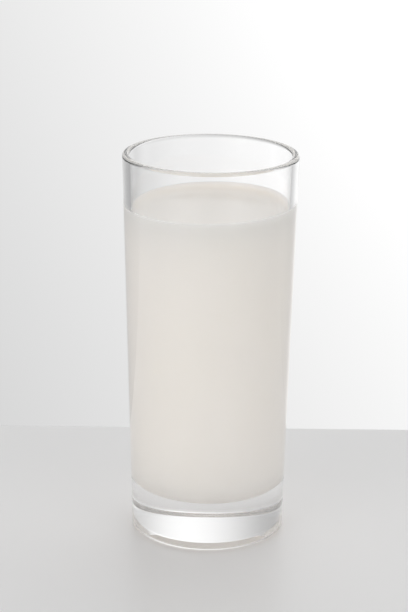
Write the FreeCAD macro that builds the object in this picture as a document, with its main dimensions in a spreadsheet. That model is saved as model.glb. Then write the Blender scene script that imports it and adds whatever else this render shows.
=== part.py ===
import FreeCAD, Part
import math
import os

import Sketcher
from FreeCAD import Vector

# A straight, slightly tapered tumbler of clear pressed glass, filled with milk.
# Millimetres, +Z up, the origin at the centre of the face that the tumbler stands on.
# Both pieces are bodies of revolution about Z, so each is one half section and its roundings.

# Every size that can be set by itself, as a row of the spreadsheet: alias, value, meaning.
SIZES = [
    ("tumbler_height", 139.0, "standing face to the top of the rim"),
    ("rim_radius", 31.0, "outside of the wall at its top"),
    ("foot_radius", 27.5, "outside of the wall at its bottom, before the edge is rounded"),
    ("wall", 2.6, "thickness of the wall, square to its slope"),
    ("floor_thickness", 16.0, "heavy base, standing face to the inside floor"),
    ("rim_round", 1.2, "fire-polished edges of the rim, inside and outside"),
    ("floor_round", 9.0, "inside corner between the floor and the wall"),
    ("foot_round", 1.5, "outside corner at the foot"),
    ("ring_width", 3.5, "flat ring that the tumbler stands on, in from the foot's radius"),
    ("slope_width", 5.6, "slope inside that ring, up to the recess under the base"),
    ("recess_height", 0.8, "rise of the recess under the base"),
    ("recess_round", 12.0, "soft bends at the top and bottom of the slope"),
    ("headspace", 20.4, "top of the rim down to the flat middle of the milk"),
    ("meniscus_height", 2.2, "climb of the milk from its flat middle to its edge on the wall"),
    ("meniscus_radius", 3.6, "curve of that climb"),
    ("milk_gap", 0.05, "clearance between the milk and the glass that holds it"),
]

# Sketcher's numbers for the ends of an edge and for the sketch's own axes and origin.
START, END = 1, 2
X_AXIS, Z_AXIS, ORIGIN = -1, -2, (-1, 1)
NEAR = 0.001


def make_sheet(doc):
    """Spreadsheet of the driving sizes: name, value under its alias, meaning."""
    sheet = doc.addObject("Spreadsheet::Sheet", "Sizes")
    for row, (alias, value, meaning) in enumerate(SIZES, start=1):
        sheet.set(f"A{row}", alias)
        sheet.set(f"B{row}", str(value))
        sheet.set(f"C{row}", meaning)
        sheet.setAlias(f"B{row}", alias)
    doc.recompute()
    return sheet


def make_body(doc, label):
    """Empty body that stands on the origin; its label names the piece."""
    body = doc.addObject("PartDesign::Body", label)
    body.Label = label
    body.Placement = FreeCAD.Placement()
    return body


def section_sketch(body, name):
    """Sketch on the body's own XZ plane: sketch x is the radius, sketch y the height."""
    sketch = body.newObject("Sketcher::SketchObject", name)
    plane = next(f for f in body.Origin.OriginFeatures if f.Role == "XZ_Plane")
    sketch.AttachmentSupport = (plane, "")
    sketch.MapMode = "FlatFace"
    return sketch


def line(sketch, start, end, construction=False):
    """Straight edge from one (radius, height) point to another."""
    return sketch.addGeometry(Part.LineSegment(Vector(*start), Vector(*end)), construction)


def arc(sketch, centre, radius, start_angle, end_angle):
    """Round edge, anticlockwise from one angle to the other."""
    circle = Part.Circle(Vector(*centre), Vector(0, 0, 1), radius)
    return sketch.addGeometry(Part.ArcOfCircle(circle, start_angle, end_angle))


def tie(sketch, kind, *ends):
    """Geometric constraint without a size."""
    sketch.addConstraint(Sketcher.Constraint(kind, *ends))


def size(sketch, kind, ends, name, formula, value):
    """Dimension called name, driven by a formula over the sheet's cells."""
    sketch.addConstraint(Sketcher.Constraint(kind, *ends, value))
    sketch.renameConstraint(sketch.ConstraintCount - 1, name)
    sketch.setExpression(f"Constraints.{name}", formula)


def outer_wall(sketch, edge, sheet):
    """Holds an edge to the tumbler's outside, which runs straight from rim to foot."""
    size(sketch, "DistanceX", (*ORIGIN, edge, START), "rim_radius", "Sizes.rim_radius",
         sheet.rim_radius)
    size(sketch, "DistanceY", (*ORIGIN, edge, START), "rim_height", "Sizes.tumbler_height",
         sheet.tumbler_height)
    size(sketch, "DistanceX", (*ORIGIN, edge, END), "foot_radius", "Sizes.foot_radius",
         sheet.foot_radius)
    tie(sketch, "PointOnObject", edge, END, X_AXIS)


def revolve(body, sketch, name):
    """Full turn of a half section about the body's Z axis."""
    turned = body.newObject("PartDesign::Revolution", name)
    turned.Profile = sketch
    turned.ReferenceAxis = (sketch, ["V_Axis"])
    turned.Angle = 360.0
    body.Document.recompute()
    return turned


def round_edges(body, feature, name, height, formula, within=(0, math.inf)):
    """Fillet on the circular edges of a feature at one height, within a range of radius."""
    edges = []
    for number, edge in enumerate(feature.Shape.Edges, start=1):
        if edge.Degenerated or not isinstance(edge.Curve, Part.Circle):
            continue
        circle = edge.Curve
        in_range = within[0] < circle.Radius < within[1]
        if in_range and math.isclose(circle.Center.z, height, abs_tol=NEAR):
            edges.append(f"Edge{number}")
    fillet = body.newObject("PartDesign::Fillet", name)
    fillet.Base = (feature, edges)
    fillet.setExpression("Radius", formula)
    body.Document.recompute()
    return fillet


def tumbler_section(body, sheet):
    """Half section of the glass: outside, foot ring, recess, floor, inside and rim."""
    sketch = section_sketch(body, "TumblerSection")
    inner_rim = sheet.rim_radius - sheet.wall
    inner_foot = sheet.foot_radius - sheet.wall
    ring_inner = sheet.foot_radius - sheet.ring_width
    recess_edge = ring_inner - sheet.slope_width

    outside = line(sketch, (sheet.rim_radius, sheet.tumbler_height), (sheet.foot_radius, 0))
    ring = line(sketch, (sheet.foot_radius, 0), (ring_inner, 0))
    slope = line(sketch, (ring_inner, 0), (recess_edge, sheet.recess_height))
    recess = line(sketch, (recess_edge, sheet.recess_height), (0, sheet.recess_height))
    axis = line(sketch, (0, sheet.recess_height), (0, sheet.floor_thickness))
    floor = line(sketch, (0, sheet.floor_thickness), (inner_foot, sheet.floor_thickness))
    inside = line(sketch, (inner_foot, sheet.floor_thickness), (inner_rim, sheet.tumbler_height))
    rim = line(sketch, (inner_rim, sheet.tumbler_height), (sheet.rim_radius, sheet.tumbler_height))

    loop = [outside, ring, slope, recess, axis, floor, inside, rim]
    for edge, following in zip(loop, loop[1:] + loop[:1]):
        tie(sketch, "Coincident", edge, END, following, START)
    outer_wall(sketch, outside, sheet)
    tie(sketch, "Horizontal", ring)
    tie(sketch, "Horizontal", recess)
    tie(sketch, "PointOnObject", axis, START, Z_AXIS)
    tie(sketch, "Vertical", axis)
    tie(sketch, "Horizontal", floor)
    tie(sketch, "Parallel", inside, outside)
    tie(sketch, "Horizontal", rim)
    size(sketch, "DistanceX", (ring, END, ring, START), "ring_width", "Sizes.ring_width",
         sheet.ring_width)
    size(sketch, "DistanceX", (slope, END, slope, START), "slope_width", "Sizes.slope_width",
         sheet.slope_width)
    size(sketch, "DistanceY", (*ORIGIN, slope, END), "recess_height", "Sizes.recess_height",
         sheet.recess_height)
    size(sketch, "DistanceY", (*ORIGIN, floor, START), "floor_thickness", "Sizes.floor_thickness",
         sheet.floor_thickness)
    size(sketch, "Distance", (inside, END, outside), "wall", "Sizes.wall", sheet.wall)
    return sketch


def make_tumbler(doc, sheet):
    """Clear glass: turned section with a polished rim and a rounded floor and foot."""
    body = make_body(doc, "tumbler")
    turned = revolve(body, tumbler_section(body, sheet), "TumblerTurned")
    mid_ring = sheet.foot_radius - sheet.ring_width / 2
    floor = round_edges(body, turned, "FloorRound", sheet.floor_thickness, "Sizes.floor_round")
    foot = round_edges(body, floor, "FootRound", 0, "Sizes.foot_round", (mid_ring, math.inf))
    ring = round_edges(body, foot, "RingRound", 0, "Sizes.recess_round", (0, mid_ring))
    recess = round_edges(body, ring, "RecessRound", sheet.recess_height, "Sizes.recess_round")
    round_edges(body, recess, "RimRound", sheet.tumbler_height, "Sizes.rim_round")
    return body


def milk_section(body, sheet):
    """Half section of the milk: flat middle, climb to the wall, wall and floor."""
    sketch = section_sketch(body, "MilkSection")
    slope = (sheet.rim_radius - sheet.foot_radius) / sheet.tumbler_height
    reach = sheet.wall + sheet.milk_gap
    bottom = sheet.floor_thickness + sheet.milk_gap
    level = sheet.tumbler_height - sheet.headspace
    edge_height = level + sheet.meniscus_height
    foot_reach = sheet.foot_radius + slope * bottom - reach
    edge_reach = sheet.foot_radius + slope * edge_height - reach
    climb = math.acos(1 - sheet.meniscus_height / sheet.meniscus_radius)
    flat = edge_reach - sheet.meniscus_radius * math.sin(climb)
    climb_centre = (flat, level + sheet.meniscus_radius)

    glass = line(sketch, (sheet.rim_radius, sheet.tumbler_height), (sheet.foot_radius, 0), True)
    surface = line(sketch, (0, level), (flat, level))
    meniscus = arc(sketch, climb_centre, sheet.meniscus_radius, -math.pi / 2, climb - math.pi / 2)
    side = line(sketch, (edge_reach, edge_height), (foot_reach, bottom))
    base = line(sketch, (foot_reach, bottom), (0, bottom))
    axis = line(sketch, (0, bottom), (0, level))

    outer_wall(sketch, glass, sheet)
    tie(sketch, "Tangent", surface, END, meniscus, START)
    loop = [meniscus, side, base, axis, surface]
    for edge, following in zip(loop, loop[1:]):
        tie(sketch, "Coincident", edge, END, following, START)
    tie(sketch, "Horizontal", surface)
    tie(sketch, "Parallel", side, glass)
    tie(sketch, "Horizontal", base)
    tie(sketch, "PointOnObject", axis, START, Z_AXIS)
    tie(sketch, "Vertical", axis)
    size(sketch, "DistanceY", (surface, START, glass, START), "headspace", "Sizes.headspace",
         sheet.headspace)
    size(sketch, "DistanceY", (surface, START, side, START), "meniscus_height",
         "Sizes.meniscus_height", sheet.meniscus_height)
    size(sketch, "Radius", (meniscus,), "meniscus_radius", "Sizes.meniscus_radius",
         sheet.meniscus_radius)
    size(sketch, "Distance", (side, START, glass), "reach", "Sizes.wall + Sizes.milk_gap", reach)
    size(sketch, "DistanceY", (*ORIGIN, axis, START), "bottom",
         "Sizes.floor_thickness + Sizes.milk_gap", bottom)
    return sketch


def make_milk(doc, sheet):
    """Milk up to its level, on the same floor, corner and wall as the glass."""
    body = make_body(doc, "milk")
    turned = revolve(body, milk_section(body, sheet), "MilkTurned")
    bottom = sheet.floor_thickness + sheet.milk_gap
    round_edges(body, turned, "MilkFloorRound", bottom, "Sizes.floor_round - Sizes.milk_gap")
    return body


def check(doc, bodies):
    """Stops on any feature that failed and on any piece that isn't one closed solid."""
    for thing in doc.Objects:
        if "Invalid" in thing.State or "Error" in thing.State:
            raise RuntimeError(f"{thing.Name} failed: {thing.State}")
    for body in bodies:
        shape = body.Shape
        if shape.isNull() or not shape.isValid() or len(shape.Solids) != 1:
            raise RuntimeError(f"{body.Label} is not one valid solid")


def write(bodies):
    """One STEP file for each piece, and its size in print."""
    os.makedirs("parts", exist_ok=True)
    for body in bodies:
        body.Shape.exportStep(f"parts/{body.Label}.step")
        box = body.Shape.optimalBoundingBox()
        cubic_cm = body.Shape.Volume / 1000
        print(f"{body.Label}: {box.XLength:.2f} x {box.YLength:.2f} x {box.ZLength:.2f} mm,"
              f" z {box.ZMin:.2f} to {box.ZMax:.2f}, {cubic_cm:.1f} cm3")


def main():
    doc = FreeCAD.newDocument("GlassOfMilk")
    sheet = make_sheet(doc)
    bodies = [make_tumbler(doc, sheet), make_milk(doc, sheet)]
    doc.recompute()
    check(doc, bodies)
    write(bodies)


main()
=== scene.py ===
# %% [markdown]
# # A glass of milk
#
# The object is two pieces: a clear, heavy-based tumbler and the milk that fills it to a
# little under the rim. Both are round, so each is drawn as half a section and turned about
# the upright axis, the way a mould maker draws a glass. The rest of the work is light:
# clear glass has no look of its own, it only bends and mirrors what stands round it.

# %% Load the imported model
import math

import bpy
from mathutils import Matrix, Vector


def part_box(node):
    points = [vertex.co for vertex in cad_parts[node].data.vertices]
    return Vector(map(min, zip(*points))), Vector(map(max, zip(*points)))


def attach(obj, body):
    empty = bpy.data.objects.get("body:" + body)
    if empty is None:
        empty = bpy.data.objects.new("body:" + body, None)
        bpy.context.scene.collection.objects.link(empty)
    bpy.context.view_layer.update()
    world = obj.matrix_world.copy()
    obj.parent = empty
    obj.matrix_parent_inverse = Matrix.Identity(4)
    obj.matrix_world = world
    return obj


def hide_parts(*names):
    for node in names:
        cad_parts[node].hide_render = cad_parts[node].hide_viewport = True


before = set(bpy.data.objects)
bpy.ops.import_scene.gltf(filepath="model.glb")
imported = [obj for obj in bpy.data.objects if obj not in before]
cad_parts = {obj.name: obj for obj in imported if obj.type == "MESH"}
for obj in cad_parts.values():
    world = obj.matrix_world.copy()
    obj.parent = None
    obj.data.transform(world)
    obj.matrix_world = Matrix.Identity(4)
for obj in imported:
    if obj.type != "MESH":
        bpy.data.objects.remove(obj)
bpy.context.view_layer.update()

scene = bpy.context.scene
MM = 0.001


glass_low, glass_high = (Vector(corner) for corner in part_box("tumbler"))
milk_low, milk_high = (Vector(corner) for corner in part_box("milk"))
glass_height = glass_high.z - glass_low.z
foot_centre = Vector(((glass_low.x + glass_high.x) / 2, (glass_low.y + glass_high.y) / 2,
                      glass_low.z))
print(f"tumbler {glass_height / MM:.1f} mm tall, milk from {milk_low.z / MM:.1f} mm"
      f" to {milk_high.z / MM:.1f} mm")

# %% [markdown]
# ## The camera
#
# The glass is seen from a little above, so that the rim opens into an ellipse and the top of
# the milk shows through the wall. A long lens from two or three hand spans away keeps the
# sides almost parallel. The camera is level by eye only, half a degree out, as one that is
# held in the hand is.

# %% Camera
CAMERA_BACK = 680 * MM
CAMERA_UP = 298 * MM
CAMERA_TILT = math.radians(17.55)
CAMERA_TURN = math.radians(0.16)
CAMERA_ROLL = math.radians(0.56)
LENS = 117.6
SENSOR = 36

camera_data = bpy.data.cameras.new("camera")
camera_data.lens = LENS
camera_data.sensor_width = SENSOR
camera = bpy.data.objects.new("camera", camera_data)
scene.collection.objects.link(camera)
place = Matrix.Translation(foot_centre + Vector((0, -CAMERA_BACK, CAMERA_UP)))
turned = Matrix.Rotation(CAMERA_TURN, 4, "Z")
tilted = Matrix.Rotation(math.pi / 2 - CAMERA_TILT, 4, "X")
rolled = Matrix.Rotation(CAMERA_ROLL, 4, "Z")
camera.matrix_world = place @ turned @ tilted @ rolled
scene.camera = camera
print(f"camera {CAMERA_BACK / MM:.0f} mm back and {CAMERA_UP / MM:.0f} mm up")

# %% [markdown]
# ## Drawing a section
#
# A turned piece needs only half its section: corners joined by straight walls, each corner
# with its own rounding. The first helper below replaces each corner by an arc that touches
# both walls, which is what a mould cutter's round tool leaves. The second puts a ring of
# points close to each end of a straight wall. Smooth shading averages the slopes on both
# sides of a point, so without those rings a tight corner would seem to bend the wall far
# beyond it, and glass shows that at once as a false line.

# %% Section helpers
ARC_STEPS = 20
STRAIGHT = 1 * MM
HOLD = 0.05 * MM
SHARP = math.radians(40)


def rounded(corners):
    """Outline through (radius, height, rounding) corners, each rounded by an arc of its own."""
    points = []
    for index, (x, y, rounding) in enumerate(corners):
        here = Vector((x, y))
        if not rounding:
            points.append(here)
            continue
        before = (Vector(corners[index - 1][:2]) - here).normalized()
        after = (Vector(corners[index + 1][:2]) - here).normalized()
        half = before.angle(after) / 2
        centre = here + (before + after).normalized() * rounding / math.sin(half)
        start = here + before * rounding / math.tan(half) - centre
        sweep = start.angle_signed(here + after * rounding / math.tan(half) - centre)
        for step in range(ARC_STEPS + 1):
            points.append(centre + Matrix.Rotation(-sweep * step / ARC_STEPS, 2) @ start)
    return points


def held(points, longest=math.inf):
    """The same outline, its straight walls held at both ends and cut no longer than longest."""
    finer = [points[0]]
    for start, end in zip(points, points[1:]):
        length = (end - start).length
        if length > STRAIGHT:
            pieces = max(1, math.ceil(length / longest))
            finer.append(start.lerp(end, HOLD / length))
            finer += [start.lerp(end, piece / pieces) for piece in range(1, pieces)]
            finer.append(start.lerp(end, 1 - HOLD / length))
        finer.append(end)
    return finer


def turn(name, section, steps, shape=None):
    """Mesh piece: a half section from axis to axis, turned once. shape may move its points."""
    verts = [Vector((0, 0, section[0].y))]
    for point in section[1:-1]:
        for step in range(steps):
            angle = 2 * math.pi * step / steps
            radius, height = shape(point.x, point.y, angle) if shape else point
            verts.append(Vector((radius * math.cos(angle), radius * math.sin(angle), height)))
    verts.append(Vector((0, 0, section[-1].y)))
    faces = []
    rings = len(section) - 2
    top = 1 + (rings - 1) * steps
    for step in range(steps):
        beside = (step + 1) % steps
        faces.append((0, 1 + beside, 1 + step))
        for low in range(1, top, steps):
            faces.append((low + step, low + beside, low + steps + beside, low + steps + step))
        faces.append((top + step, top + beside, len(verts) - 1))
    mesh = bpy.data.meshes.new(name)
    mesh.from_pydata(verts, [], faces)
    mesh.shade_smooth()
    mesh.set_sharp_from_angle(angle=SHARP)
    piece = bpy.data.objects.new(name, mesh)
    piece.location = foot_centre
    scene.collection.objects.link(piece)
    print(f"{name}: {len(verts)} points, {len(faces)} faces")
    return piece


# %% [markdown]
# ## The tumbler
#
# A pressed tumbler has a thick base, a wall of even thickness that leans out slightly, a
# fire-polished rim and, under the base, a shallow recess inside the ring that it stands on.
# All of these bend light in their own way: the recess throws the milk's colour on the foot,
# the rim and the foot draw dark lines. So the sizes are those of the CAD model, and the
# mesh is finer than the model's own.

# %% Tumbler
FOOT_RADIUS = 27.5 * MM
RIM_RADIUS = 31.0 * MM
WALL = 2.6 * MM
FLOOR = 16.0 * MM
RIM_ROUND = 1.2 * MM
FLOOR_ROUND = 9.0 * MM
FOOT_ROUND = 1.5 * MM
RING_WIDTH = 3.5 * MM
SLOPE_WIDTH = 5.6 * MM
RECESS = 0.8 * MM
RECESS_ROUND = 12.0 * MM
TURN_STEPS = 512

taper = math.atan((RIM_RADIUS - FOOT_RADIUS) / glass_height)


def wall_radius(height, inset=0.0):
    """Radius of the leaning wall at a height, inset (square to the wall) from its outside."""
    return FOOT_RADIUS + height * math.tan(taper) - inset / math.cos(taper)


ring_inner = FOOT_RADIUS - RING_WIDTH
tumbler_section = rounded([
    (0, RECESS, 0),
    (ring_inner - SLOPE_WIDTH, RECESS, RECESS_ROUND),
    (ring_inner, 0, RECESS_ROUND),
    (FOOT_RADIUS, 0, FOOT_ROUND),
    (RIM_RADIUS, glass_height, RIM_ROUND),
    (wall_radius(glass_height, WALL), glass_height, RIM_ROUND),
    (wall_radius(FLOOR, WALL), FLOOR, FLOOR_ROUND),
    (0, FLOOR, 0),
])
tumbler = turn("tumbler_glass", held(tumbler_section), TURN_STEPS)

# %% [markdown]
# ## The milk
#
# Milk wets glass, so its surface is flat in the middle and climbs the wall at the edge. The
# climb follows the law of Young and Laplace: how fast it rises depends only on the liquid's
# capillary length, about two millimetres. Where the milk was poured in it has wetted the wall
# a little higher. Below, the piece reaches a touch into the glass, so that light meets no
# film of air between the two.

# %% Milk
MENISCUS = 2.2 * MM
CAPILLARY = 2.2 * MM
REACH = 0.12 * MM
TUCK = 1.5 * MM
CLIMB_STEPS = 24
CUT = 3 * MM
FLAT_AT = 0.01
POUR_MEAN = 0.6 * MM
POUR_SWING = 0.85 * MM
POUR_SIDE = math.radians(40)

contact = milk_high.z - foot_centre.z
level = contact - MENISCUS


def fall_off(rise):
    """Distance from the wall, to a constant, at which a wetting liquid stands this high."""
    ratio = rise / (2 * CAPILLARY)
    return CAPILLARY * (math.acosh(1 / ratio) - 2 * math.sqrt(1 - ratio ** 2))


def climb_points():
    """The surface from the wall to the flat middle: heights fall by equal ratios."""
    edge = wall_radius(contact, WALL)
    rises = [MENISCUS * FLAT_AT ** (step / CLIMB_STEPS) for step in range(CLIMB_STEPS + 1)]
    return [Vector((edge - fall_off(rise) + fall_off(MENISCUS), level + rise))
            for rise in rises]


def poured(radius, height, angle):
    """Lifts the climb, most of all on the side where the milk ran in."""
    climbed = max(height - level, 0) / MENISCUS
    lift = (POUR_MEAN + POUR_SWING * math.cos(angle - POUR_SIDE)) * climbed
    return radius + lift * math.tan(taper), height + lift


milk_side = rounded([
    (0, FLOOR - REACH, 0),
    (wall_radius(FLOOR - REACH, WALL - REACH), FLOOR - REACH, FLOOR_ROUND + REACH),
    (wall_radius(contact - TUCK, WALL - REACH), contact - TUCK, 0),
])
milk_section = held(milk_side, CUT) + climb_points()
milk_section += held([milk_section[-1], Vector((0, level))], CUT)[1:]
milk = turn("milk_drink", milk_section, TURN_STEPS, poured)

# %% [markdown]
# ## Unevenness that every finish shares
#
# Nothing that is made or poured is perfectly even: pressed glass wavers a little, milk drifts
# in tone, a table has patches that shine less. One could paint a picture of this for each
# piece. A noise that is worked out in space needs no unwrapping and has no seam, so it is
# built once, as a node group, and each finish sets its own size and stretch.

# %% Shared unevenness
NOISE_DETAIL = 3
NOISE_LOW, NOISE_HIGH = 0.3, 0.7


def new_material(name):
    """Material with a Principled shader: the material, its nodes and that shader."""
    material = bpy.data.materials.new(name)
    material.use_nodes = True
    tree = material.node_tree
    return material, tree, tree.nodes["Principled BSDF"]


def waver_group():
    """Slow unevenness in space: a value about 0.5, and the same value drawn to a range."""
    group = bpy.data.node_groups.new("waver", "ShaderNodeTree")
    for name, kind in [("Stretch", "NodeSocketVector"), ("Size", "NodeSocketFloat"),
                       ("From", "NodeSocketFloat"), ("To", "NodeSocketFloat")]:
        group.interface.new_socket(name, in_out="INPUT", socket_type=kind)
    for name in ("Height", "Range"):
        group.interface.new_socket(name, in_out="OUTPUT", socket_type="NodeSocketFloat")
    nodes, links = group.nodes, group.links
    given = nodes.new("NodeGroupInput")
    result = nodes.new("NodeGroupOutput")
    place = nodes.new("ShaderNodeTexCoord")
    stretch = nodes.new("ShaderNodeVectorMath")
    stretch.operation = "DIVIDE"
    links.new(place.outputs["Object"], stretch.inputs[0])
    links.new(given.outputs["Stretch"], stretch.inputs[1])
    scale = nodes.new("ShaderNodeMath")
    scale.operation = "DIVIDE"
    scale.inputs[0].default_value = 1
    links.new(given.outputs["Size"], scale.inputs[1])
    noise = nodes.new("ShaderNodeTexNoise")
    noise.inputs["Detail"].default_value = NOISE_DETAIL
    links.new(stretch.outputs["Vector"], noise.inputs["Vector"])
    links.new(scale.outputs[0], noise.inputs["Scale"])
    spread = nodes.new("ShaderNodeMapRange")
    spread.inputs["From Min"].default_value = NOISE_LOW
    spread.inputs["From Max"].default_value = NOISE_HIGH
    links.new(noise.outputs["Fac"], spread.inputs["Value"])
    links.new(given.outputs["From"], spread.inputs["To Min"])
    links.new(given.outputs["To"], spread.inputs["To Max"])
    links.new(noise.outputs["Fac"], result.inputs["Height"])
    links.new(spread.outputs["Result"], result.inputs["Range"])
    return group


waver = waver_group()


def add_waver(tree, size, stretch=(1, 1, 1), low=0.0, high=1.0):
    """The shared unevenness, placed in a material with its own size, stretch and range."""
    node = tree.nodes.new("ShaderNodeGroup")
    node.node_tree = waver
    node.inputs["Size"].default_value = size
    node.inputs["Stretch"].default_value = stretch
    node.inputs["From"].default_value = low
    node.inputs["To"].default_value = high
    return node


def add_bump(tree, shader, height, distance, strength):
    """Bump from a height, into the shader's normal."""
    bump = tree.nodes.new("ShaderNodeBump")
    bump.inputs["Distance"].default_value = distance
    bump.inputs["Strength"].default_value = strength
    tree.links.new(height, bump.inputs["Height"])
    tree.links.new(bump.outputs["Normal"], shader.inputs["Normal"])


print("shared unevenness ready")

# %% [markdown]
# ## Clear glass
#
# Clear soda-lime glass lets light through, bends it by an index of 1.5 and mirrors a little
# of it. It could be faked with a transparent shader, but then the thick base would draw no
# lines. True transmission is used, and the walls waver very slightly upright, as the glass
# does where it ran down the mould.

# %% Clear glass
GLASS_IOR = 1.5
GLASS_WAVE = 9 * MM
GLASS_RIPPLE = 0.02 * MM
GLASS_HAZE = 0.004
UPRIGHT = (1, 1, 4)

glass_material, tree, shader = new_material("clear_glass")
shader.inputs["Base Color"].default_value = (1, 1, 1, 1)
shader.inputs["IOR"].default_value = GLASS_IOR
shader.inputs["Transmission Weight"].default_value = 1.0
ripple = add_waver(tree, GLASS_WAVE, UPRIGHT, 0.0, GLASS_HAZE)
tree.links.new(ripple.outputs["Range"], shader.inputs["Roughness"])
add_bump(tree, shader, ripple.outputs["Height"], GLASS_RIPPLE, 1.0)
tumbler.data.materials.append(glass_material)
print(f"glass bends light by {GLASS_IOR}")

# %% [markdown]
# ## Milk
#
# Milk is white because droplets of fat scatter light inside it, and the fat gives it a warm
# cast. A plain white paint looks like plaster: the light has to enter and come out a little
# way off, which softens the top edge and lights the thin film where the milk climbs the
# wall. Against the glass it has no shine of its own. Its free surface is wet, so that part
# gets a finish of its own: it mirrors as a watery liquid does, and its tone is set apart from
# the rest, as it is seen through the empty wall and not against it.

# %% Milk finishes
# The first pair is the milk's own tone. The second pair, for the free surface, is darker:
# painted shade for the weaker light from above.
MILK_WARM, MILK_PALE = (0.97, 0.925, 0.885, 1), (0.975, 0.935, 0.9, 1)
PAINTED_SHADE_TOP_WARM, PAINTED_SHADE_TOP_PALE = (0.945, 0.865, 0.805, 1), (0.95, 0.875, 0.82, 1)
MILK_DEPTH = 1.0 * MM
MILK_IOR = 1.35
MILK_DRIFT = 30 * MM
MILK_MATT = 0.5
SURFACE_ROUGHNESS = (0.06, 0.12)
FACING_OUT = 0.5


def milk_finish(name, warm, pale):
    """Scattering milk that drifts slowly between two tones."""
    material, tree, shader = new_material(name)
    drift = add_waver(tree, MILK_DRIFT, (1, 1, 2))
    tone = tree.nodes.new("ShaderNodeMix")
    tone.data_type = "RGBA"
    tone.inputs["A"].default_value = warm
    tone.inputs["B"].default_value = pale
    tree.links.new(drift.outputs["Range"], tone.inputs["Factor"])
    tree.links.new(tone.outputs["Result"], shader.inputs["Base Color"])
    shader.inputs["Subsurface Weight"].default_value = 1.0
    shader.inputs["Subsurface Radius"].default_value = (1, 1, 1)
    shader.inputs["Subsurface Scale"].default_value = MILK_DEPTH
    return material, tree, shader


body_material, tree, shader = milk_finish("milk_body", MILK_WARM, MILK_PALE)
shader.inputs["Roughness"].default_value = MILK_MATT
shader.inputs["Specular IOR Level"].default_value = 0.0

# The free surface: a wet finish, with its colour darkened as painted shade.
shaded_top_material, tree, shader = milk_finish("milk_top_painted_shade", PAINTED_SHADE_TOP_WARM, PAINTED_SHADE_TOP_PALE)
shader.inputs["IOR"].default_value = MILK_IOR
wet = add_waver(tree, MILK_DRIFT / 2, (1, 1, 1), *SURFACE_ROUGHNESS)
tree.links.new(wet.outputs["Range"], shader.inputs["Roughness"])

milk.data.materials.append(body_material)
milk.data.materials.append(shaded_top_material)
# Faces of the top that do not face outwards get the wet finish and its painted shade.
wet_shaded_faces = 0
for face in milk.data.polygons:
    outward = Vector((face.center.x, face.center.y, 0)).normalized()
    if face.center.z > level / 2 and face.normal.dot(outward) < FACING_OUT:
        face.material_index = 1
        wet_shaded_faces += 1
print(f"{wet_shaded_faces} wet faces of {len(milk.data.polygons)}")

# %% [markdown]
# ## The table
#
# The glass stands on a pale, slightly glossy top whose far edge shows a little way behind
# it. The table is not part of the object, but clear glass shows it through the base and
# milk takes light from it, so it has to be there. It lies a hair below the glass: two faces
# in exactly the same place would flicker.

# %% Table
TABLE_BEHIND = 95 * MM
TABLE_SIDE = 2.0
CONTACT_GAP = 0.02 * MM
TABLE_TONE = 0.84
TABLE_PATCH = 60 * MM
TABLE_ROUGHNESS = (0.31, 0.34)

table_mesh = bpy.data.meshes.new("table")
table_mesh.from_pydata([(-TABLE_SIDE, -TABLE_SIDE, 0), (TABLE_SIDE, -TABLE_SIDE, 0),
                        (TABLE_SIDE, TABLE_BEHIND, 0), (-TABLE_SIDE, TABLE_BEHIND, 0)],
                       [], [(0, 1, 2, 3)])
table = bpy.data.objects.new("table", table_mesh)
table.location = foot_centre - Vector((0, 0, CONTACT_GAP))
scene.collection.objects.link(table)
table_material, tree, shader = new_material("table")
shader.inputs["Base Color"].default_value = (TABLE_TONE, TABLE_TONE, TABLE_TONE, 1)
patches = add_waver(tree, TABLE_PATCH, (1, 1, 1), *TABLE_ROUGHNESS)
tree.links.new(patches.outputs["Range"], shader.inputs["Roughness"])
table_mesh.materials.append(table_material)
print(f"table edge {TABLE_BEHIND / MM:.0f} mm behind the glass")

# %% [markdown]
# ## Studio light
#
# Glass is lit by its surroundings, not by lamps, so the studio is drawn straight into the
# world: a few soft lights, each brightest at its centre and fading evenly all round. A real
# studio hangs large white cloths in these places: a key in front on the left, a fill on the
# right at two thirds of it, weaker ones at the sides, one high at the back, and a backdrop
# that is brighter to the right. One soft light is one node group, and the world adds up as
# many as it is given.

# %% Soft lights
# Each soft light: name, bearing from straight behind the glass (positive to the right),
# height above the horizon, spread (both in degrees) and strength.
SOFT_LIGHTS = [
    ("key_front_left", -140, 10, 25, 2.1),
    ("fill_front_right", 140, 10, 25, 1.4),
    ("side_left", -90, 0, 20, 0.9),
    ("side_right", 70, 0, 20, 0.75),
    ("high_back", 15, 50, 30, 1.1),
    ("backdrop", 0, 0, 25, 0.35),
    ("backdrop_right", 15, -5, 16, 0.5),
    ("floor_behind", 20, -35, 20, 0.5),
]
ROOM_LIGHT = 0.4


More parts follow.
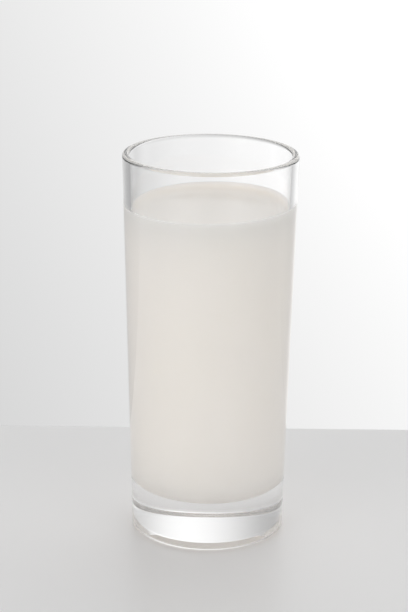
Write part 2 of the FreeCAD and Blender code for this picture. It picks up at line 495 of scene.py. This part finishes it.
def soft_light_group():
    """Brightness of one soft light, seen in a direction: full at its centre, none far off."""
    group = bpy.data.node_groups.new("soft_light", "ShaderNodeTree")
    group.interface.new_socket("Direction", in_out="INPUT", socket_type="NodeSocketVector")
    group.interface.new_socket("Towards", in_out="INPUT", socket_type="NodeSocketVector")
    group.interface.new_socket("Sharpness", in_out="INPUT", socket_type="NodeSocketFloat")
    group.interface.new_socket("Strength", in_out="INPUT", socket_type="NodeSocketFloat")
    group.interface.new_socket("Brightness", in_out="OUTPUT", socket_type="NodeSocketFloat")
    nodes, links = group.nodes, group.links
    given = nodes.new("NodeGroupInput")
    result = nodes.new("NodeGroupOutput")
    along = nodes.new("ShaderNodeVectorMath")
    along.operation = "DOT_PRODUCT"
    links.new(given.outputs["Direction"], along.inputs[0])
    links.new(given.outputs["Towards"], along.inputs[1])
    off = nodes.new("ShaderNodeMath")
    off.operation = "SUBTRACT"
    off.inputs[1].default_value = 1
    links.new(along.outputs["Value"], off.inputs[0])
    fall = nodes.new("ShaderNodeMath")
    fall.operation = "MULTIPLY"
    links.new(off.outputs[0], fall.inputs[0])
    links.new(given.outputs["Sharpness"], fall.inputs[1])
    shape = nodes.new("ShaderNodeMath")
    shape.operation = "EXPONENT"
    links.new(fall.outputs[0], shape.inputs[0])
    scaled = nodes.new("ShaderNodeMath")
    scaled.operation = "MULTIPLY"
    links.new(shape.outputs[0], scaled.inputs[0])
    links.new(given.outputs["Strength"], scaled.inputs[1])
    links.new(scaled.outputs[0], result.inputs["Brightness"])
    return group


# %% [markdown]
# The world adds the soft lights up, one after another, over an even light from the room.

# %% World
world = bpy.data.worlds.new("studio")
scene.world = world
world.use_nodes = True
tree = world.node_tree
background = tree.nodes["Background"]
looking = tree.nodes.new("ShaderNodeTexCoord")
light_group = soft_light_group()
total = tree.nodes.new("ShaderNodeValue").outputs[0]
total.default_value = ROOM_LIGHT
for name, bearing, rise, spread, strength in SOFT_LIGHTS:
    bearing, rise = math.radians(bearing), math.radians(rise)
    light = tree.nodes.new("ShaderNodeGroup")
    light.node_tree = light_group
    light.name = name
    tree.links.new(looking.outputs["Generated"], light.inputs["Direction"])
    light.inputs["Towards"].default_value = (math.sin(bearing) * math.cos(rise),
                                             math.cos(bearing) * math.cos(rise),
                                             math.sin(rise))
    light.inputs["Sharpness"].default_value = 1 / (1 - math.cos(math.radians(spread)))
    light.inputs["Strength"].default_value = strength
    joined = tree.nodes.new("ShaderNodeMath")
    tree.links.new(total, joined.inputs[0])
    tree.links.new(light.outputs["Brightness"], joined.inputs[1])
    total = joined.outputs[0]
tree.links.new(total, background.inputs["Strength"])
background.inputs["Color"].default_value = (1, 1, 1, 1)
print(f"{len(SOFT_LIGHTS)} soft lights")

# %% [markdown]
# ## Following light through thick glass
#
# Light passes to and fro between the milk and the glass many times, and Blender's usual
# limits cut it short, which leaves a grubby drink. So the limits are raised, and the blurring
# of mirrored rays, which also loses light here, is turned off. Mirroring alone keeps a low
# limit. Light caught in a thin rim or in the corner of the foot is mirrored dozens of times
# and would come out as speckle. Given up after ten, it leaves the clean dark lines that a
# glass shows there. That limit is chosen for its look, it isn't worked out.

# %% Light paths
scene.view_settings.view_transform = "Standard"
GLASS_BOUNCES = 48
MIRRORINGS = 10
scene.cycles.max_bounces = GLASS_BOUNCES
scene.cycles.glossy_bounces = MIRRORINGS
scene.cycles.transmission_bounces = GLASS_BOUNCES
scene.cycles.diffuse_bounces = GLASS_BOUNCES // 2
scene.cycles.blur_glossy = 0.0
print(f"light is followed through {GLASS_BOUNCES} bounces")

# %% [markdown]
# ## Handing over
#
# Nothing on the glass moves, so both pieces ride on the one body. Each stands for the CAD
# node of the same part, which stays behind for its weight and its collision.

# %% Hand over
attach(tumbler, "root")
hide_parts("tumbler")
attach(milk, "root")
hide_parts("milk")
